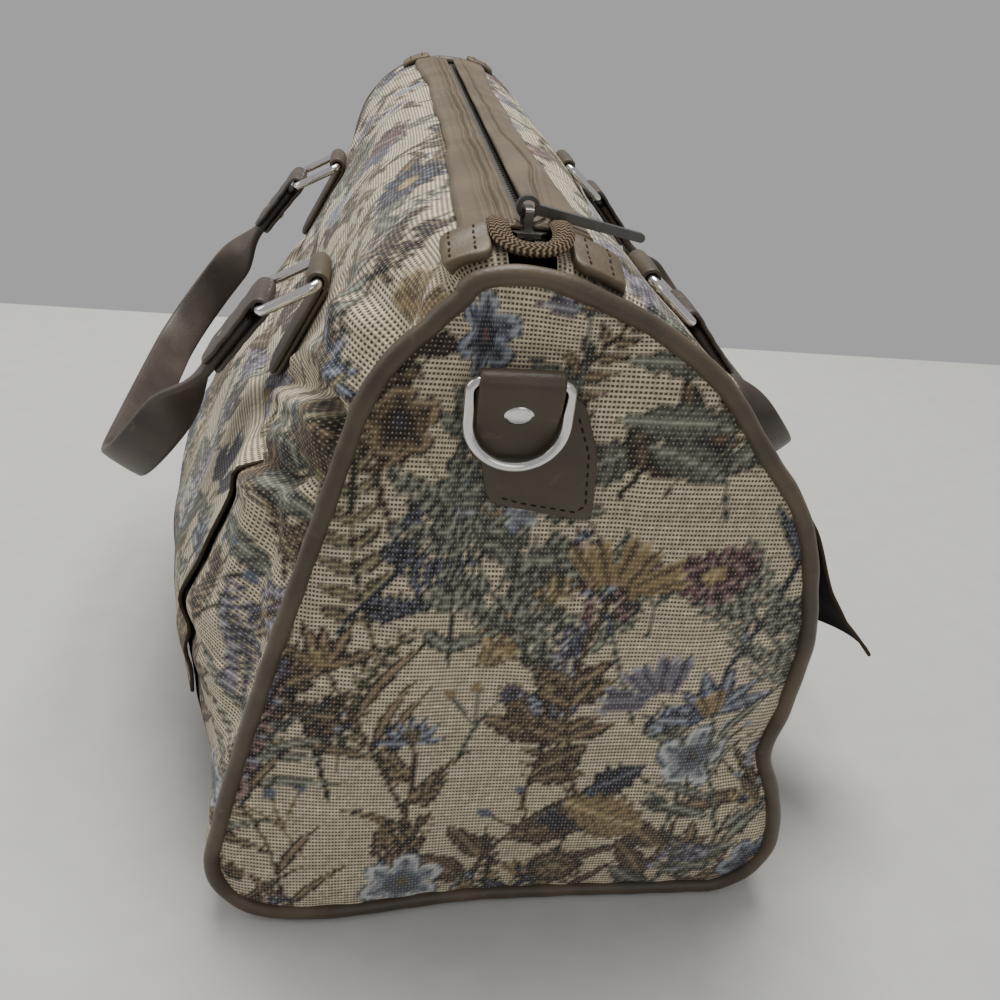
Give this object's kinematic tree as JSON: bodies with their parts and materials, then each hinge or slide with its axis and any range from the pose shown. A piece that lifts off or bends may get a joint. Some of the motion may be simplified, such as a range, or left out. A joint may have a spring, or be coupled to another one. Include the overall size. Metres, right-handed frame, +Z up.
{
  "type": "carpet bag",
  "caption": "Soft tapestry holdall with a zipped top, two leather handles on hinged rings, a D-ring tab at each end and a flapped pocket on each side.",
  "frame": {"origin": "on the floor, under the middle of the bag's flat base", "axes": "+Y along the bag's length, from the zip slider's end to the far end; +X across it, towards the side with the lifted flap; +Z up"},
  "size_m": [0.3336, 0.4346, 0.2724],
  "materials": {
    "tapestry": "woven flowers on a cream ground",
    "lining": "plain black cloth",
    "board": "dark pressed board",
    "handle_leather": "smooth, dark brown, worn",
    "trim_leather": "smooth taupe brown",
    "piping_leather": "smooth taupe brown, rubbed",
    "zip_tape": "woven herringbone",
    "zip_metal": "dull dark metal",
    "ring_metal": "polished plating"
  },
  "bodies": {
    "bag": {"base_board": "board", "base_panel": "tapestry", "chape_left_front": "trim_leather", "chape_left_rear": "trim_leather", "chape_right_front": "trim_leather", "chape_right_rear": "trim_leather", "end_loop_front": "trim_leather", "end_loop_rear": "trim_leather", "end_panel_front": "tapestry", "end_panel_rear": "tapestry", "end_patch_front": "trim_leather", "end_patch_rear": "trim_leather", "end_rivet_front": "ring_metal", "end_rivet_rear": "ring_metal", "flap_left": "tapestry", "flap_right": "tapestry", "lining": "lining", "piping_front": "piping_leather", "piping_rear": "piping_leather", "pocket_left": "tapestry", "pocket_right": "tapestry", "side_panel_left": "tapestry", "side_panel_right": "tapestry", "top_band_left": "trim_leather", "top_band_right": "trim_leather", "zip_bottom_stop": "zip_metal", "zip_tape_left": "zip_tape", "zip_tape_right": "zip_tape", "zip_teeth_left": "zip_metal", "zip_teeth_right": "zip_metal", "zip_top_stops": "zip_metal", "zip_trim_front_left": "trim_leather", "zip_trim_front_right": "trim_leather", "zip_trim_rear_left": "trim_leather", "zip_trim_rear_right": "trim_leather"},
    "zip_slider": {"zip_slider": "zip_metal"},
    "zip_pull": {"zip_pull": "zip_metal"},
    "d_ring_front": {"d_ring_front": "ring_metal"},
    "d_ring_rear": {"d_ring_rear": "ring_metal"},
    "rings_left": {"ring_left_front": "ring_metal", "ring_left_rear": "ring_metal"},
    "handle_left": {"handle_strap_left": "handle_leather", "handle_end_left_front": "handle_leather", "handle_end_left_rear": "handle_leather", "handle_rivet_left_front": "ring_metal", "handle_rivet_left_rear": "ring_metal"},
    "rings_right": {"ring_right_front": "ring_metal", "ring_right_rear": "ring_metal"},
    "handle_right": {"handle_strap_right": "handle_leather", "handle_end_right_front": "handle_leather", "handle_end_right_rear": "handle_leather", "handle_rivet_right_front": "ring_metal", "handle_rivet_right_rear": "ring_metal"}
  },
  "joints": [
    {"name": "zip_slide", "type": "slide", "parent": "bag", "child": "zip_slider", "axis": [0, 1, 0], "range_m": [0, 0.35], "deforming": ["zip_teeth_left", "zip_teeth_right"]},
    {"name": "pull_hinge", "type": "hinge", "parent": "zip_slider", "child": "zip_pull", "pos_m": [-0.012, -0.1791, 0.269], "axis": [0, -1, 0], "range_deg": [0, 158]},
    {"name": "d_ring_front_hinge", "type": "hinge", "parent": "bag", "child": "d_ring_front", "pos_m": [-0.0135, -0.2119, 0.229], "axis": [-1, 0, 0], "range_deg": [0, 175]},
    {"name": "d_ring_rear_hinge", "type": "hinge", "parent": "bag", "child": "d_ring_rear", "pos_m": [-0.0135, 0.2119, 0.229], "axis": [1, 0, 0], "range_deg": [0, 175]},
    {"name": "rings_left_hinge", "type": "hinge", "parent": "bag", "child": "rings_left", "pos_m": [-0.07489, 0, 0.21902], "axis": [0, 1, 0], "range_deg": [0, 105]},
    {"name": "handle_left_hinge", "type": "hinge", "parent": "rings_left", "child": "handle_left", "pos_m": [-0.09608, 0, 0.20775], "axis": [0, 1, 0], "range_deg": [0, 57]},
    {"name": "rings_right_hinge", "type": "hinge", "parent": "bag", "child": "rings_right", "pos_m": [0.0494, 0, 0.2277], "axis": [0, -1, 0], "range_deg": [0, 117]},
    {"name": "handle_right_hinge", "type": "hinge", "parent": "rings_right", "child": "handle_right", "pos_m": [0.06779, 0, 0.21227], "axis": [0, -1, 0], "range_deg": [0, 41]}
  ]
}
